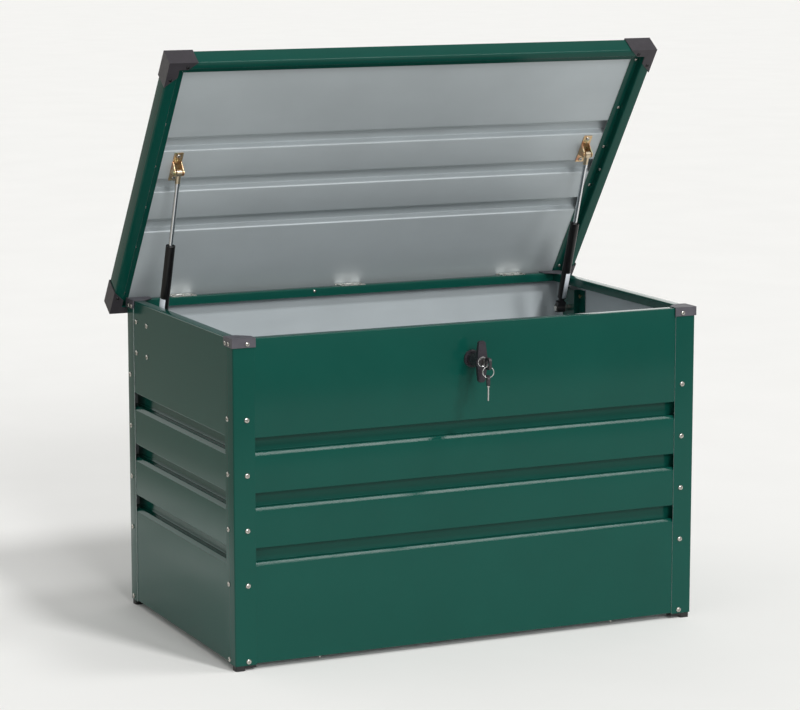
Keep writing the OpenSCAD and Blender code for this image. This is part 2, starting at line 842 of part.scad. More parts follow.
// Side view of an arm, [y, z] of the lid frame
module arm_outline() {
    base_y = -eye_v;
    end_r = 6.5;
    polygon([[base_y - 13, panel_w - plate_t / 2], [base_y + 13, panel_w - plate_t / 2],
        [base_y + end_r, eye_w], [base_y - end_r, eye_w]]);
    translate([base_y, eye_w]) circle(r = end_r);
}

module lid_bracket_screws() {
    color(bright) on_lid()
        for (side = [-1, 1])
            for (v = bracket_screw_v)
                translate([side * strut_x, -v, panel_w - plate_t]) mirror([0, 0, 1])
                    pan_screw(4, 2, tapping_r, 7);
}

// ---- Gas struts ----

bore_r = 8;
gland_l = 8;
rod_foot = cylinder_l - gland_l - 12;

// Hollow cylinder with its end connector round the stud
module strut_cylinder(side) {
    connector_t = 17;
    color(black) on_strut(side) difference() {
        union() {
            translate([0, 0, 24]) cylinder(r = cylinder_r, h = cylinder_l - 24);
            translate([0, 0, 12]) cylinder(r = 6, h = 16);
            rotate([0, 90, 0]) cylinder(r = 8.5, h = connector_t, center = true);
            translate([-connector_t / 2, -6, 0]) cube([connector_t, 12, 15]);
        }
        rotate([0, 90, 0]) cylinder(r = stud_r + 0.05, h = 40, center = true);
        translate([0, 0, 40]) cylinder(r = bore_r, h = cylinder_l - gland_l - 40);
        translate([0, 0, 60]) cylinder(r = rod_r + 0.05, h = cylinder_l);
    }
}

// Rod with its piston and the zinc end eye that stands between the lid bracket's arms
module strut_rod(side) {
    neck_l = 16;
    color(bright) on_strut(side) {
        difference() {
            union() {
                translate([0, 0, rod_foot]) cylinder(r = bore_r - 0.08, h = 6);
                translate([0, 0, rod_foot]) cylinder(r = rod_r, h = strut_open_l - rod_foot - 8);
                translate([0, 0, strut_open_l - 12 - neck_l]) cylinder(r = 5, h = neck_l + 8);
                translate([0, 0, strut_open_l]) rotate([0, 90, 0]) cylinder(r = 7, h = eye_t, center = true);
            }
            translate([0, 0, strut_open_l]) rotate([0, 90, 0])
                cylinder(r = stub_r + 0.3, h = 2 * arm_gap, center = true);
        }
    }
}

// ---- Lock ----

// Rosette with its threaded sleeve through the wall
module lock_rosette() {
    color(black) on_lock() rotate([90, 0, 0]) difference() {
        union() {
            rotate_extrude()
                polygon([[0, 0], [16.3, 0], [16.3, 3.5], [14.8, 6], [12.5, 6], [12.5, 4], [0, 4]]);
            translate([0, 0, -15]) cylinder(r = sleeve_r, h = 16);
        }
        translate([0, 0, -20]) cylinder(r = spindle_r + 0.05, h = 40);
    }
}

module lock_nut() {
    color(bright) on_lock() translate([0, sheet, 0]) rotate([-90, 0, 0]) difference() {
        cylinder(r = 14, h = 5, $fn = 6);
        translate([0, 0, -1]) cylinder(r = sleeve_r + 0.05, h = 7);
    }
}

// Front view of the wing handle, [x, z]
module wing_outline() {
    tip_w = 13.4;
    tip_r = 3;
    right_side = [[tip_w / 2 - tip_r, wing_h / 2], [tip_w / 2, wing_h / 2 - tip_r], [wing_w / 2, 4],
        [wing_w / 2, -4], [tip_w / 2, -wing_h / 2 + tip_r], [tip_w / 2 - tip_r, -wing_h / 2]];
    polygon(concat(right_side, [for (p = reversed(right_side)) [-p[0], p[1]]]));
}

// Side view of the wing handle, [y, z], with a ridge at its middle
module wing_profile() {
    wing_t = 9;
    bow = 2.5;
    polygon([[-wing_out, 0], [-wing_out + bow, wing_h / 2], [-wing_out + wing_t, wing_h / 2],
        [-wing_out + wing_t + 1, 0], [-wing_out + wing_t, -wing_h / 2], [-wing_out + bow, -wing_h / 2]]);
}

// Wing, neck and spindle are one casting
module lock_handle() {
    neck_r = 12.2;
    color(black) on_lock() difference() {
        union() {
            intersection() {
                along_y(-60, 0) wing_outline();
                along_x(40) wing_profile();
            }
            intersection() {
                rotate([90, 0, 0]) translate([0, 0, 4.3]) cylinder(r = neck_r, h = wing_out - 4.3);
                along_x(2 * neck_r) polygon([[-4, -30], [-4, 30], [-wing_out + 2, 30], [-wing_out + 0.4, 0],
                    [-wing_out + 2, -30]]);
            }
            rotate([-90, 0, 0]) translate([0, 0, -10]) cylinder(r = spindle_r, h = 26);
            translate([-3.5, 15, -3.5]) cube([7, 8, 7]);
        }
        rotate([90, 0, 0]) translate([0, 0, wing_out - 21.5]) cylinder(r = core_r + 0.05, h = 30);
        rotate([90, 0, 0]) translate([0, 0, wing_out - 2.5]) cylinder(r = 9.5, h = 10);
    }
}

module lock_bezel() {
    color(bright) on_lock() rotate([90, 0, 0]) translate([0, 0, wing_out - 2.5]) rotate_extrude()
        polygon([[core_r + 0.05, 0], [9.5, 0], [9.5, 2.6], [8.9, 3.4], [8.1, 3.4], [core_r + 0.05, 2.8]]);
}

// Core with the slot for the key
module lock_core() {
    color(bright) on_lock() rotate([90, 0, 0]) translate([0, 0, wing_out - 21]) difference() {
        rotate_extrude()
            polygon([[0, 0], [core_r, 0], [core_r, 21.1], [core_r - 0.8, 21.4], [5, 20.6], [0, 20.6]]);
        translate([-1.3, -4.3, 2]) cube([2.6, 8.6, 30]);
    }
}

// Cam on the square of the spindle, pointing up behind the rim
module lock_cam() {
    cam_w = 16;
    cam_l = 44;
    color(bright) on_lock() translate([0, 17, 0]) difference() {
        union() {
            rotate([-90, 0, 0]) cylinder(r = cam_w / 2, h = 3);
            translate([-cam_w / 2, 0, 0]) cube([cam_w, 3, cam_l]);
        }
        translate([-3.55, -1, -3.55]) cube([7.1, 5, 7.1]);
    }
}

// A key, its blade down -Z from the head; the head's hole is at the origin, thickness along X
module key_shape(blade_l) {
    head_half_l = 9.5;
    head_half_w = 11;
    difference() {
        union() {
            rotate([90, 0, 90]) linear_extrude(key_head_t, center = true)
                translate([-head_half_w, -head_half_l])
                    rounded_square([2 * head_half_w, 2 * head_half_l], key_hole_r);
            translate([-1, -4, -head_half_l - blade_l]) cube([2, 8, blade_l + 1]);
            translate([-2, -5, -head_half_l - 2]) cube([4, 10, 3]);
        }
        rotate([0, 90, 0]) cylinder(r = key_hole_r, h = 20, center = true);
        for (i = [0 : 2])
            translate([0, 4, -head_half_l - blade_l + 5 + 4 * i]) rotate([45, 0, 0])
                cube([4, 2, 2], center = true);
    }
}

module key() {
    color(black) on_lock() translate([0, -key_out, 0]) rotate([90, 0, 0]) key_shape(31.5);
}

// The ring hangs in the key's hole; its frame is turned about the vertical
module on_ring() {
    on_lock() translate([0, -key_out, -wire_drop]) rotate([0, 0, ring_turn]) children();
}

module key_ring() {
    color(bright) on_ring() translate([0, 0, -ring_r]) rotate([90, 0, 0])
        rotate_extrude() translate([ring_r, 0]) circle(r = wire_r, $fn = 24);
}

module spare_key() {
    color(black) on_ring() translate([0, 0, -2 * ring_r - wire_drop]) key_shape(27);
}

front_panel();
rear_panel();
side_panel(-1);  // left_panel
side_panel(1);  // right_panel
floor_panel();
post(-1, -1);  // front_left_post
post(1, -1);  // front_right_post
post(-1, 1);  // rear_left_post
post(1, 1);  // rear_right_post
rim_cap(-1, -1);  // front_left_cap
rim_cap(1, -1);  // front_right_cap
rim_cap(-1, 1);  // rear_left_cap
rim_cap(1, 1);  // rear_right_cap
feet();
post_screws();
post_nuts();
cap_screws();
floor_screws();
wall_bracket(-1);  // left_wall_bracket
wall_bracket(1);  // right_wall_bracket
wall_bracket_screws();
wall_bracket_nuts();
strut_studs();
rear_rim_screw();
hinge_box_leaf(0);  // left_hinge_box_leaf
hinge_box_leaf(1);  // middle_hinge_box_leaf
hinge_box_leaf(2);  // right_hinge_box_leaf
hinge_lid_leaf(0);  // left_hinge_lid_leaf
hinge_lid_leaf(1);  // middle_hinge_lid_leaf
hinge_lid_leaf(2);  // right_hinge_lid_leaf
hinge_pins();
hinge_box_screws();
hinge_lid_screws();
lid_panel();
lid_front_rail();
lid_rear_rail();
lid_side_rail(-1);  // lid_left_rail
lid_side_rail(1);  // lid_right_rail
lid_cap(-1, -1);  // lid_front_left_cap
lid_cap(1, -1);  // lid_front_right_cap
lid_cap(-1, 1);  // lid_rear_left_cap
lid_cap(1, 1);  // lid_rear_right_cap
lid_cap_screws();
lid_rail_screws();
lid_bracket(-1);  // left_lid_bracket
lid_bracket(1);  // right_lid_bracket
lid_bracket_screws();
strut_cylinder(-1);  // left_strut_cylinder
strut_cylinder(1);  // right_strut_cylinder
strut_rod(-1);  // left_strut_rod
strut_rod(1);  // right_strut_rod
lock_rosette();
lock_handle();
lock_bezel();
lock_core();
lock_cam();
lock_nut();
key();
key_ring();
spare_key();
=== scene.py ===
"""Deck storage box: looks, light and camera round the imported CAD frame. Lengths are in metres."""

import json
import math

import bmesh
import bpy
from mathutils import Matrix, Vector


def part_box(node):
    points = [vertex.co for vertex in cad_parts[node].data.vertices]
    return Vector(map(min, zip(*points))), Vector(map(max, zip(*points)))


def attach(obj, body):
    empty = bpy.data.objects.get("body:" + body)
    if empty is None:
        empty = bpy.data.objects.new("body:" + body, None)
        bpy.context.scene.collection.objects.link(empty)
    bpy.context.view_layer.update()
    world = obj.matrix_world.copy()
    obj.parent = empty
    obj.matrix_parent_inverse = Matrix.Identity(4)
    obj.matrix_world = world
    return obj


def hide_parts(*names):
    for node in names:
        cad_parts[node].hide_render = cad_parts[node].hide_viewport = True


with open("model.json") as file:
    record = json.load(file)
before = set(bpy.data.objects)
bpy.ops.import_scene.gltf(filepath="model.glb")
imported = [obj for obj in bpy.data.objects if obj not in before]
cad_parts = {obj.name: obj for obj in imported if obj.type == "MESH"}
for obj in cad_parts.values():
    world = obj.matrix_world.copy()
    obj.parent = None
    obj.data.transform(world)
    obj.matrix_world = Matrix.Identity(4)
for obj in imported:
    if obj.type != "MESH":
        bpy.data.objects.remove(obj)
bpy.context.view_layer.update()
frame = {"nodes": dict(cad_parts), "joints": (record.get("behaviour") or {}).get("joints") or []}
nodes = frame["nodes"]

MM = 0.001

# Sheet metal
SHEET = 1.0 * MM
POST_T = 1.2 * MM
BEND_R = 1.3 * MM
BEND_STEPS = 5
SHEET_BEVEL = 0.25 * MM
REAL_EDGE = math.radians(40)
SHARP_EDGE = math.radians(35)

# A wall's section: its rim's inner lip, and three grooves whose lower flank slopes to shed water
RIM_LIP = 16.5 * MM
GROOVE_MIDDLES = [(206 + 100 * i) * MM for i in range(3)]
GROOVE_H = 32 * MM
GROOVE_D = 17.5 * MM
GROOVE_SLOPE = 6 * MM

# The closed lid's frame: Y is zero at its rear edge and negative forward, Z is zero at its lip
LID_BEHIND_HINGE = 25 * MM
LIP_BELOW_HINGE = 14.2 * MM
LID_W = 1000 * MM
LID_L = 613 * MM
LID_T = 37.6 * MM
CAP_INSET = 1.6 * MM
LIP_Z = 1.5 * MM
LEDGE_Z = 17.4 * MM
RAIL_TOP = LID_T - 1.5 * MM
RAIL_X = LID_W / 2 - CAP_INSET
RISER_X = LID_W / 2 - 22 * MM
LEDGE_X = LID_W / 2 - 39 * MM
RAIL_FRONT = LID_L - CAP_INSET
RISER_FRONT = LID_L - 16.5 * MM
LEDGE_FRONT = LID_L - 36 * MM
PANEL_X = RISER_X - 1.5 * MM
PANEL_REAR = CAP_INSET + SHEET + 1.4 * MM
PANEL_FRONT = RISER_FRONT - 1.5 * MM
PANEL_Z = LEDGE_Z + SHEET
RIB_TOP = RAIL_TOP - SHEET - 0.5 * MM
RIB_W = 32 * MM
RIB_PITCH = 100 * MM


# ---------------------------------------------------------------- materials


class Finish:
    """A Principled material with small helpers for its procedural inputs."""

    def __init__(self, name, color, roughness, metallic=0.0, specular=0.5):
        self.material = bpy.data.materials.new(name)
        self.material.use_nodes = True
        self.tree = self.material.node_tree
        self.shader = self.tree.nodes["Principled BSDF"]
        self.shader.inputs["Base Color"].default_value = (*color, 1)
        self.shader.inputs["Roughness"].default_value = roughness
        self.shader.inputs["Metallic"].default_value = metallic
        self.shader.inputs["Specular IOR Level"].default_value = specular
        self.where = self.node("ShaderNodeTexCoord").outputs["Object"]

    def node(self, kind):
        return self.tree.nodes.new(kind)

    def link(self, a, b):
        self.tree.links.new(a, b)

    def noise(self, scale, detail=3.0, stretch=(1, 1, 1)):
        mapping = self.node("ShaderNodeMapping")
        mapping.inputs["Scale"].default_value = stretch
        self.link(self.where, mapping.inputs["Vector"])
        noise = self.node("ShaderNodeTexNoise")
        noise.inputs["Scale"].default_value = scale
        noise.inputs["Detail"].default_value = detail
        self.link(mapping.outputs["Vector"], noise.inputs["Vector"])
        return noise.outputs["Fac"]

    def ranged(self, value, low, high):
        span = self.node("ShaderNodeMapRange")
        span.inputs["From Min"].default_value = 0.3
        span.inputs["From Max"].default_value = 0.7
        span.inputs["To Min"].default_value = low
        span.inputs["To Max"].default_value = high
        self.link(value, span.inputs["Value"])
        return span.outputs["Result"]

    def vary_color(self, value, dark, light):
        ramp = self.node("ShaderNodeValToRGB")
        ramp.color_ramp.elements[0].position = 0.3
        ramp.color_ramp.elements[0].color = (*dark, 1)
        ramp.color_ramp.elements[1].position = 0.7
        ramp.color_ramp.elements[1].color = (*light, 1)
        self.link(value, ramp.inputs["Fac"])
        self.link(ramp.outputs["Color"], self.shader.inputs["Base Color"])
        return ramp.outputs["Color"]

    def vary_roughness(self, value, low, high):
        self.link(self.ranged(value, low, high), self.shader.inputs["Roughness"])

    def bump(self, value, height, strength=1.0):
        bump = self.node("ShaderNodeBump")
        bump.inputs["Strength"].default_value = strength
        bump.inputs["Distance"].default_value = height
        self.link(value, bump.inputs["Height"])
        self.link(bump.outputs["Normal"], self.shader.inputs["Normal"])


def scaled(color, factor):
    return tuple(channel * factor for channel in color)


def green_coat():
    """Glossy powder coat with a faint orange peel."""
    green = (0.0035, 0.06, 0.045)
    coat = Finish("green_coat", green, 0.16, specular=0.2)
    coat.vary_color(coat.noise(9, 4), scaled(green, 0.96), scaled(green, 1.04))
    coat.vary_roughness(coat.noise(35), 0.13, 0.19)
    coat.bump(coat.noise(260, 2), 0.00006, 0.12)
    return coat.material


def inner_zinc():
    """Satin galvanised face, faintly brushed along the sheet."""
    grey = (0.475, 0.52, 0.54)
    zinc = Finish("inner_zinc", grey, 0.5, metallic=0.15, specular=0.4)
    zinc.vary_color(zinc.noise(7, 5), scaled(grey, 0.96), scaled(grey, 1.04))
    zinc.vary_roughness(zinc.noise(60, 2, (0.15, 1, 1)), 0.44, 0.56)
    zinc.bump(zinc.noise(300, 3, (0.1, 1, 1)), 0.0001, 0.1)
    return zinc.material


def cut_edge():
    """Sheared edge where the bare zinc shows."""
    edge = Finish("cut_edge", (0.6, 0.62, 0.62), 0.35, metallic=0.6)
    edge.vary_color(edge.noise(400, 2), (0.52, 0.54, 0.54), (0.68, 0.7, 0.7))
    return edge.material


def plastic(name, color, roughness, grain=900):
    """Moulded plastic or rubber with a fine matt grain."""
    moulded = Finish(name, color, roughness, specular=0.4)
    moulded.vary_color(moulded.noise(60, 4), scaled(color, 0.88), scaled(color, 1.12))
    moulded.vary_roughness(moulded.noise(150), roughness - 0.06, roughness + 0.06)
    moulded.bump(moulded.noise(grain, 2), 0.00015, 0.35)
    return moulded.material


def metal(name, color, roughness, grain=250):
    """Plated or polished steel with faint wear."""
    plated = Finish(name, color, roughness, metallic=1.0)
    plated.vary_color(plated.noise(grain, 3), scaled(color, 0.86), scaled(color, 1.08))
    plated.vary_roughness(plated.noise(grain / 2), roughness - 0.06, roughness + 0.08)
    plated.bump(plated.noise(grain * 2, 2), 0.00008, 0.15)
    return plated.material


def yellow_zinc(name, color, roughness):
    """Yellow passivated plate, with pink, gold and green blotches of its iridescence."""
    plate = Finish(name, color, roughness, metallic=0.95)
    ramp = plate.node("ShaderNodeValToRGB")
    ramp.color_ramp.elements[0].position = 0.32
    ramp.color_ramp.elements[1].position = 0.68
    for position in (0.44, 0.56):
        ramp.color_ramp.elements.new(position)
    for element, tint in zip(ramp.color_ramp.elements, ((1.0, 0.62, 0.6), (1.1, 1.0, 0.78), (1.25, 1.2, 1.15),
                                                        (0.72, 0.95, 0.72))):
        element.color = (*(c * t for c, t in zip(color, tint)), 1)
    plate.link(plate.noise(110, 3), ramp.inputs["Fac"])
    plate.link(ramp.outputs["Color"], plate.shader.inputs["Base Color"])
    plate.vary_roughness(plate.noise(300), roughness - 0.05, roughness + 0.1)
    plate.bump(plate.noise(700, 2), 0.0001, 0.2)
    return plate.material


def enamel(name, color, roughness):
    """Black enamel on steel."""
    paint = Finish(name, color, roughness, specular=0.35)
    paint.vary_color(paint.noise(40, 3), scaled(color, 0.8), scaled(color, 1.25))
    paint.vary_roughness(paint.noise(120), roughness - 0.05, roughness + 0.06)
    paint.bump(paint.noise(600, 2), 0.0001, 0.12)
    return paint.material


def two_part(name, axis, edge, above, below):
    """One solid of two finishes: (color, roughness, metallic) above and below a height along an axis."""
    both = Finish(name, above[0], above[1])
    split = both.node("ShaderNodeSeparateXYZ")
    both.link(both.where, split.inputs["Vector"])
    side = both.node("ShaderNodeMath")
    side.operation = "GREATER_THAN"
    side.inputs[1].default_value = edge
    both.link(split.outputs[axis], side.inputs[0])
    tint = both.node("ShaderNodeMix")
    tint.data_type = "RGBA"
    tint.inputs[6].default_value = (*below[0], 1)
    tint.inputs[7].default_value = (*above[0], 1)
    both.link(side.outputs[0], tint.inputs[0])
    both.link(tint.outputs[2], both.shader.inputs["Base Color"])
    for socket, low, high in (("Roughness", below[1], above[1]), ("Metallic", below[2], above[2])):
        mix = both.node("ShaderNodeMix")
        mix.inputs[2].default_value = low
        mix.inputs[3].default_value = high
        both.link(side.outputs[0], mix.inputs[0])
        both.link(mix.outputs[0], both.shader.inputs[socket])
    both.bump(both.noise(700, 2), 0.0001, 0.15)
    return both.material


COAT = green_coat()
ZINC = inner_zinc()
EDGE = cut_edge()
SHEET_FINISH = [COAT, ZINC, EDGE]
RAIL_FINISH = [COAT, COAT, EDGE]


# ---------------------------------------------------------------- folded sheet


def folded(path, thickness, side):
    """Rounds a path's corners and pairs each point with the one on the sheet's other face.

    side is 1 where the thickness lies to the right of the path and -1 to the left.
    The inner face of every bend has the same radius."""
    corners = [Vector(p) for p in path]
    pairs = []
    for i, corner in enumerate(corners):
        before = (corner - corners[i - 1]).normalized() if i else None
        after = (corners[i + 1] - corner).normalized() if i + 1 < len(corners) else None
        if before is None or after is None:
            along = after if before is None else before
            pairs.append((corner, corner + Vector((along.y, -along.x)) * side * thickness))
            continue
        turn = before.x * after.y - before.y * after.x
        angle = math.atan2(abs(turn), before.dot(after))
        toward = Vector((-before.y, before.x)) * math.copysign(1, turn)
        inward = turn * side < 0
        radius = BEND_R + (thickness if inward else 0)
        away = BEND_R if inward else BEND_R + thickness
        centre = corner - before * radius * math.tan(angle / 2) + toward * radius
        for k in range(BEND_STEPS + 1):
            around = angle * k / BEND_STEPS
            out = -toward * math.cos(around) + before * math.sin(around)
            pairs.append((centre + out * radius, centre + out * away))
    return pairs


def strip(name, pairs, place, starts, ends, finishes, body, replaced):
    """Sweeps a section of paired points between two ends into a closed mesh that replaces a CAD node.

    place(s, point) puts a section point at a distance s along the sweep.
    starts and ends give s for a point. finishes are for the first face, the second face and the cut edges."""
    count = len(pairs)
    rows = []
    for limit in (starts, ends):
        for face in (0, 1):
            rows.append([place(limit(pair[face]), pair[face]) for pair in pairs])
    verts = [v for row in rows for v in row]
    faces, slots = [], []
    for k in range(count - 1):
        for first, second, slot in ((0, 2, 0), (1, 3, 1), (0, 1, 2), (2, 3, 2)):
            a, b = first * count + k, second * count + k
            faces.append((a, a + 1, b + 1, b))
            slots.append(slot)
    for k in (0, count - 1):
        faces.append((k, count + k, 3 * count + k, 2 * count + k))
        slots.append(2)
    mesh = bpy.data.meshes.new(name)
    mesh.from_pydata(verts, [], faces)
    for finish in finishes:
        mesh.materials.append(finish)
    for polygon, slot in zip(mesh.polygons, slots):
        polygon.material_index = slot
    finish_mesh(mesh)
    piece = bpy.data.objects.new(name, mesh)
    bpy.context.scene.collection.objects.link(piece)
    bevel_edges(piece, SHEET_BEVEL, 2)
    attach(piece, body)
    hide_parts(replaced)
    return piece


def bevel_edges(piece, width, segments):
    """A small bevel on a piece's real edges."""
    edges = piece.modifiers.new("edges", "BEVEL")
    edges.width = width
    edges.segments = segments
    edges.limit_method = "ANGLE"
    edges.angle_limit = REAL_EDGE


def finish_mesh(mesh):
    """Points every face outward and keeps only the real edges sharp."""
    work = bmesh.new()
    work.from_mesh(mesh)
    bmesh.ops.recalc_face_normals(work, faces=work.faces)
    work.to_mesh(mesh)
    work.free()
    mesh.shade_smooth()
    mesh.set_sharp_from_angle(angle=SHARP_EDGE)


def constant(value):
    return lambda point: value


def wall_section(depth, low, high):
    """Outer face of a wall, [depth, z], from its lower fold to its rim's inner lip."""
    path = [(depth, low), (0, low)]
    for middle in GROOVE_MIDDLES:
        bottom, top = middle - GROOVE_H / 2, middle + GROOVE_H / 2
        shelf = bottom + GROOVE_SLOPE
        path += [(0, bottom), (GROOVE_SLOPE, shelf), (GROOVE_D, shelf), (GROOVE_D, top), (0, top)]
    return path + [(0, high), (depth, high), (depth, high - RIM_LIP)]


def wall(node, axis, inward):
    """A wall panel along X (axis 0) or Y (axis 1); inward is the sign of the way into the box."""
    low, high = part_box(node)
    across = 1 - axis
    face = low[across] if inward > 0 else high[across]
    pairs = folded(wall_section(high[across] - low[across], low.z, high.z), SHEET, 1)

    def place(s, point):
        spot = [0, 0, point.y]
        spot[axis] = s
        spot[across] = face + inward * point.x
        return spot

    strip(node + "_skin", pairs, place, constant(low[axis]), constant(high[axis]),
          SHEET_FINISH, "box", node)


def post(node, side, end):
    """An L-section post; side and end are -1 or 1 towards its outer corner."""
    low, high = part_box(node)
    corner = Vector((high.x if side > 0 else low.x, high.y if end > 0 else low.y))
    width, depth = high.x - low.x, high.y - low.y
    pairs = folded([(width, 0), (0, 0), (0, depth)], POST_T, 1)

    def place(s, point):
        return [corner.x - side * point.x, corner.y - end * point.y, s]

    strip(node + "_skin", pairs, place, constant(low.z), constant(high.z), SHEET_FINISH, "box", node)


for node, axis, inward in (
    ("front_panel", 0, 1),
    ("rear_panel", 0, -1),
    ("left_panel", 1, 1),
    ("right_panel", 1, -1),
):
    wall(node, axis, inward)

for node, side, end in (
    ("front_left_post", -1, -1),
    ("front_right_post", 1, -1),
    ("rear_left_post", -1, 1),
    ("rear_right_post", 1, 1),
):
    post(node, side, end)


# ---------------------------------------------------------------- lid

lid_joint = next(j for j in frame["joints"] if j["name"] == "lid_hinge")
hinge = Vector(lid_joint["pos_m"])
lid_matrix = (
    Matrix.Translation(hinge)
    @ Matrix.Rotation(-math.radians(lid_joint["range_deg"][1]), 4, "X")
    @ Matrix.Translation((0, LID_BEHIND_HINGE, -LIP_BELOW_HINGE))
)


def between(value, points):
    """Reads a piecewise straight line of (input, output) points."""
    points = sorted(points)
    if value <= points[0][0]:
        return points[0][1]
    for (a, fa), (b, fb) in zip(points, points[1:]):
        if value <= b:
            return fa + (fb - fa) * (value - a) / (b - a)
    return points[-1][1]


# The joint between the front rail and a side rail, (x, distance forward)
JOINT = [(RAIL_X, RAIL_FRONT), (RISER_X, RISER_FRONT), (LEDGE_X, LEDGE_FRONT)]


def on_lid(x, y, z):
    """A point of the closed lid's frame, in the open lid."""
    return lid_matrix @ Vector((x, y, z))


def lid_panel():
    """The panel with its three ribs, zinc below and coated above."""
    path = [(-PANEL_REAR, PANEL_Z)]
    for i in (-1, 0, 1):
        middle = LID_L / 2 + i * RIB_PITCH
        rear, front = -middle + RIB_W / 2, -middle - RIB_W / 2
        path += [(rear, PANEL_Z), (rear, RIB_TOP - SHEET), (front, RIB_TOP - SHEET), (front, PANEL_Z)]
    path.append((-PANEL_FRONT, PANEL_Z))

    def place(s, point):
        return on_lid(s, point.x, point.y)

    strip("lid_panel_skin", folded(path, SHEET, 1), place, constant(-PANEL_X), constant(PANEL_X),
          [ZINC, COAT, EDGE], "lid", "lid_panel")


def side_rail(node, side):
    """A side rail: ledge under the panel, riser, lip, outer face and top; side is -1 or 1."""
    path = [(LEDGE_X, LEDGE_Z), (RISER_X, LEDGE_Z), (RISER_X, LIP_Z), (RAIL_X, LIP_Z),
            (RAIL_X, RAIL_TOP), (LEDGE_X, RAIL_TOP)]

    def place(s, point):
        return on_lid(side * point.x, s, point.y)

    def front_end(point):
        return -between(point.x, JOINT)

    strip(node + "_skin", folded(path, SHEET, -1), place, constant(-CAP_INSET - SHEET), front_end,
          RAIL_FINISH, "lid", node)


def front_rail():
    """The front rail, with a side rail's section and mitred at both ends."""
    path = [(-LEDGE_FRONT, LEDGE_Z), (-RISER_FRONT, LEDGE_Z), (-RISER_FRONT, LIP_Z), (-RAIL_FRONT, LIP_Z),
            (-RAIL_FRONT, RAIL_TOP), (-LEDGE_FRONT, RAIL_TOP)]

    def place(s, point):
        return on_lid(s, point.x, point.y)

    def right_end(point):
        return between(-point.x, [(forward, x) for x, forward in JOINT])

    strip("lid_front_rail_skin", folded(path, SHEET, 1), place, lambda p: -right_end(p), right_end,
          RAIL_FINISH, "lid", "lid_front_rail")


lid_panel()
side_rail("lid_left_rail", -1)
side_rail("lid_right_rail", 1)
front_rail()


# ---------------------------------------------------------------- finishes of the CAD nodes


def dress(names, material, bevel=0.0, segments=2):
    """Gives CAD nodes a material, and a small bevel on their real edges."""
    for name in names:
        solid = nodes[name]
        solid.data.materials.clear()
        solid.data.materials.append(material)
        if bevel:
            bevel_edges(solid, bevel, segments)


bright = metal("bright_zinc_plate", (0.52, 0.5, 0.46), 0.24)
hinge_plate = metal("hinge_plate", (0.8, 0.78, 0.73), 0.3)
lock_black = enamel("lock_black", (0.026, 0.023, 0.029), 0.3)
rim_cap = plastic("rim_cap_plastic", (0.075, 0.072, 0.085), 0.5)
lid_cap = plastic("lid_cap_plastic", (0.032, 0.028, 0.034), 0.42)

dress(["floor_panel"], ZINC)
dress(["lid_rear_rail", "left_wall_bracket", "right_wall_bracket"], COAT)
dress(["front_left_cap", "front_right_cap", "rear_left_cap", "rear_right_cap"], rim_cap, 0.9 * MM, 3)
dress(["lid_front_left_cap", "lid_front_right_cap", "lid_rear_left_cap", "lid_rear_right_cap"],
      lid_cap, 0.7 * MM, 3)
dress(["feet"], plastic("foot_rubber", (0.012, 0.012, 0.012), 0.6), 1.2 * MM, 3)
dress(["post_screws", "cap_screws", "wall_bracket_screws", "lid_rail_screws", "lid_bracket_screws",
       "rear_rim_screw", "floor_screws", "hinge_box_screws", "hinge_lid_screws"], bright)
dress(["post_nuts", "strut_studs", "lock_nut", "lock_cam"], bright)
dress(["wall_bracket_nuts"], yellow_zinc("yellow_nuts", (0.8, 0.66, 0.46), 0.25))
dress(["hinge_pins", "left_hinge_box_leaf", "middle_hinge_box_leaf", "right_hinge_box_leaf",
       "left_hinge_lid_leaf", "middle_hinge_lid_leaf", "right_hinge_lid_leaf"], hinge_plate)
dress(["lid_cap_screws"], enamel("black_screw", (0.008, 0.008, 0.009), 0.2))
dress(["left_lid_bracket", "right_lid_bracket"],
      yellow_zinc("yellow_zinc", (0.55, 0.42, 0.28), 0.3), 0.3 * MM)
dress(["left_strut_cylinder", "right_strut_cylinder"],
      enamel("strut_black", (0.005, 0.0045, 0.005), 0.34))
dress(["lock_rosette", "lock_handle"], lock_black, 0.8 * MM, 3)
dress(["lock_bezel"], metal("lock_chrome", (0.78, 0.78, 0.78), 0.16), 0.15 * MM)
dress(["lock_core"], enamel("core_black", (0.03, 0.028, 0.03), 0.3), 0.15 * MM)
dress(["key_ring"], metal("ring_steel", (0.75, 0.75, 0.74), 0.2))

# Color, roughness and metallic of the two-part solids, and where one finish meets the other
STEEL = ((0.7, 0.69, 0.66), 0.3, 1.0)
KEY_PLASTIC = ((0.022, 0.02, 0.024), 0.4, 0.0)
ROD_CHROME = ((0.72, 0.73, 0.75), 0.14, 1.0)
EYE_ZINC = ((0.6, 0.5, 0.36), 0.28, 1.0)
BLADE_FROM_HEAD = 19 * MM
EYE_L = 28 * MM
dress(["key"],
      two_part("key_finish", "Y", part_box("key")[0].y + BLADE_FROM_HEAD, STEEL, KEY_PLASTIC), 0.5 * MM)
dress(["spare_key"],
      two_part("spare_key_finish", "Z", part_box("spare_key")[1].z - BLADE_FROM_HEAD, KEY_PLASTIC, STEEL),
      0.5 * MM)
dress(["left_strut_rod", "right_strut_rod"],
      two_part("rod_finish", "Z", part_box("left_strut_rod")[1].z - EYE_L, EYE_ZINC, ROD_CHROME))


# ---------------------------------------------------------------- strut labels


LABEL_FROM, LABEL_TO = 26 * MM, 81 * MM
LABEL_R = 9.03 * MM
LABEL_T = 0.12 * MM
LABEL_REACH = math.radians(155)
LABEL_STEPS = 20


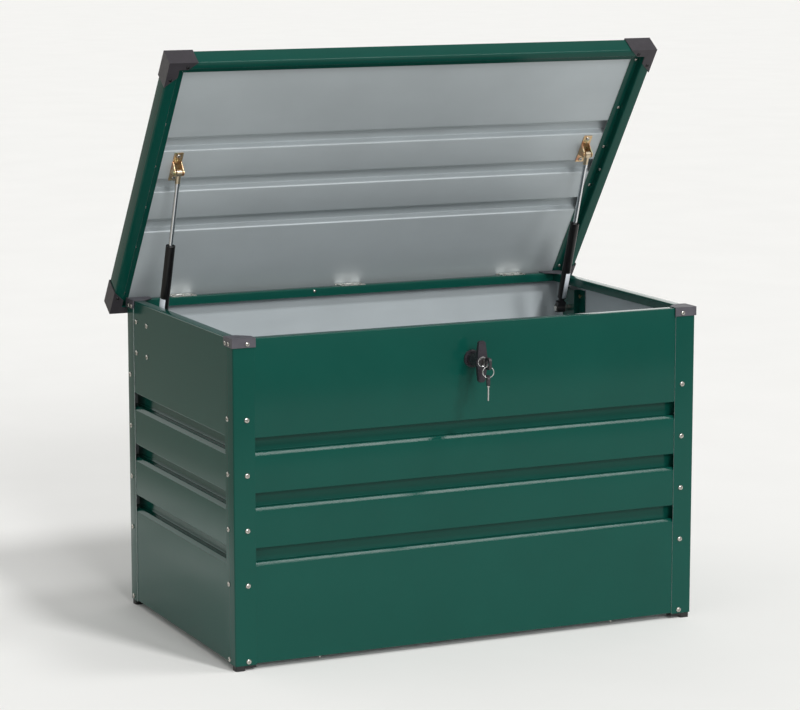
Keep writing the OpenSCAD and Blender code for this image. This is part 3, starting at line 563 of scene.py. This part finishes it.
def strut_label(side_name, middle):
    """A blank label round part of a strut's cylinder; its middle's angle runs from the rear towards +X."""
    swing = next(j for j in frame["joints"] if j["name"] == side_name + "_strut_swing")
    slide = next(j for j in frame["joints"] if j["name"] == side_name + "_strut_extend")
    base, along = Vector(swing["pos_m"]), Vector(slide["axis"]).normalized()
    side = Vector((1, 0, 0))
    rear = along.cross(side)
    verts, faces = [], []
    for k in range(LABEL_STEPS + 1):
        angle = math.radians(middle) + LABEL_REACH * (k / LABEL_STEPS - 0.5)
        out = side * math.sin(angle) + rear * math.cos(angle)
        for s in (LABEL_FROM, LABEL_TO):
            verts.append(base + along * s + out * LABEL_R)
    for k in range(LABEL_STEPS):
        faces.append((2 * k, 2 * k + 2, 2 * k + 3, 2 * k + 1))
    mesh = bpy.data.meshes.new(side_name + "_strut_label")
    mesh.from_pydata(verts, [], faces)
    mesh.shade_smooth()
    mesh.materials.append(paper)
    label = bpy.data.objects.new(side_name + "_strut_label", mesh)
    bpy.context.scene.collection.objects.link(label)
    film = label.modifiers.new("film", "SOLIDIFY")
    film.thickness = LABEL_T
    film.offset = 1.0
    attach(label, side_name + "_strut_cylinder")


paper = plastic("label_film", (0.5, 0.53, 0.57), 0.4)
strut_label("left", -90)
strut_label("right", 128)


# ---------------------------------------------------------------- stage, light, camera


def floor_paint():
    """Pale floor with painted shade: its colour darkens far in front, and to the left behind the box,
    standing in for light falling off away from the lit area.
    """
    pale = (0.845, 0.84, 0.825)
    paint = Finish("studio_floor", pale, 0.8, specular=0.0)
    last = paint.vary_color(paint.noise(3), scaled(pale, 0.99), scaled(pale, 1.01))
    # Each painted shade runs along a direction on the floor, from near to far, towards a darker grey that
    # stands in for less light there
    for along, near, far, painted_shade in (
        ((0.0, 1.0, 0.0), -1.7, -2.9, (0.3, 0.3, 0.295)),
        ((1.0, -0.3, 0.0), -0.8, -1.5, (0.36, 0.345, 0.315)),
    ):
        line = paint.node("ShaderNodeVectorMath")
        line.operation = "DOT_PRODUCT"
        line.inputs[1].default_value = along
        paint.link(paint.where, line.inputs[0])
        fade = paint.node("ShaderNodeMapRange")
        fade.interpolation_type = "SMOOTHSTEP"
        fade.inputs["From Min"].default_value = near
        fade.inputs["From Max"].default_value = far
        paint.link(line.outputs["Value"], fade.inputs["Value"])
        mix = paint.node("ShaderNodeMix")
        mix.data_type = "RGBA"
        paint.link(fade.outputs["Result"], mix.inputs[0])
        paint.link(last, mix.inputs[6])
        # Painted shade: the floor's colour blends towards this darker grey
        mix.inputs[7].default_value = (*painted_shade, 1)
        last = mix.outputs[2]
    paint.link(last, paint.shader.inputs["Base Color"])
    return paint.material


def stage_floor():
    """A plain floor that reaches past the camera's view in every direction."""
    mesh = bpy.data.meshes.new("studio_floor")
    reach = 60.0
    corners = [(-reach, -reach, 0), (reach, -reach, 0), (reach, reach, 0), (-reach, reach, 0)]
    mesh.from_pydata(corners, [], [(0, 1, 2, 3)])
    floor = bpy.data.objects.new("studio_floor", mesh)
    bpy.context.scene.collection.objects.link(floor)
    mesh.materials.append(floor_paint())


def soft_sun(name, energy, direction, spread):
    """A distant softbox shining along a direction; spread is its angle across, in degrees."""
    data = bpy.data.lights.new(name, "SUN")
    data.energy = energy
    data.angle = math.radians(spread)
    light = bpy.data.objects.new(name, data)
    light.rotation_euler = Vector(direction).to_track_quat("-Z", "Y").to_euler()
    bpy.context.scene.collection.objects.link(light)


def soft_world():
    """Even studio sky: dim overhead and bright low down at the back."""
    world = bpy.data.worlds.new("studio")
    bpy.context.scene.world = world
    world.use_nodes = True
    tree = world.node_tree
    where = tree.nodes.new("ShaderNodeTexCoord")
    split = tree.nodes.new("ShaderNodeSeparateXYZ")
    tree.links.new(where.outputs["Generated"], split.inputs["Vector"])

    def fade(axis, start, end, low, high):
        span = tree.nodes.new("ShaderNodeMapRange")
        span.interpolation_type = "SMOOTHSTEP"
        for name, value in (("From Min", start), ("From Max", end), ("To Min", low), ("To Max", high)):
            span.inputs[name].default_value = value
        tree.links.new(split.outputs[axis], span.inputs["Value"])
        return span.outputs["Result"]

    def math_node(operation, a, b):
        node = tree.nodes.new("ShaderNodeMath")
        node.operation = operation
        tree.links.new(a, node.inputs[0])
        tree.links.new(b, node.inputs[1])
        return node.outputs[0]

    overhead = fade("Z", 0.25, 0.85, 0.66, 0.36)
    back = math_node("MULTIPLY", fade("Y", 0.3, 0.7, 0.0, 0.75), fade("Z", 0.25, 0.5, 1.0, 0.0))
    background = tree.nodes["Background"]
    background.inputs["Color"].default_value = (1.0, 1.0, 0.985, 1)
    tree.links.new(math_node("ADD", overhead, back), background.inputs["Strength"])


def camera():
    """Front-left, slightly above, with a long lens."""
    azimuth, elevation, distance = math.radians(-24.78), math.radians(9.39), 5.5
    low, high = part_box("floor_panel")
    aim = Vector((-0.008, (low.y + high.y) / 2 + 0.02, 0.503))
    back = Vector((math.sin(azimuth) * math.cos(elevation), -math.cos(azimuth) * math.cos(elevation),
                   math.sin(elevation)))
    data = bpy.data.cameras.new("camera")
    data.sensor_width = 36
    data.lens = 129.2
    data.shift_y = -0.0032
    data.clip_end = 200
    view = bpy.data.objects.new("camera", data)
    view.location = aim + back * distance
    view.rotation_euler = (-back).to_track_quat("-Z", "Y").to_euler()
    bpy.context.scene.collection.objects.link(view)
    bpy.context.scene.camera = view


stage_floor()
soft_world()
soft_sun("key", 1.35, (-0.246, 0.622, -0.743), 8)
soft_sun("top_softbox", 0.42, (-0.414, 0.163, -0.896), 13)
soft_sun("front_fill", 1.15, (0.0, 0.906, -0.423), 18)
camera()
bpy.context.scene.view_settings.view_transform = "Standard"
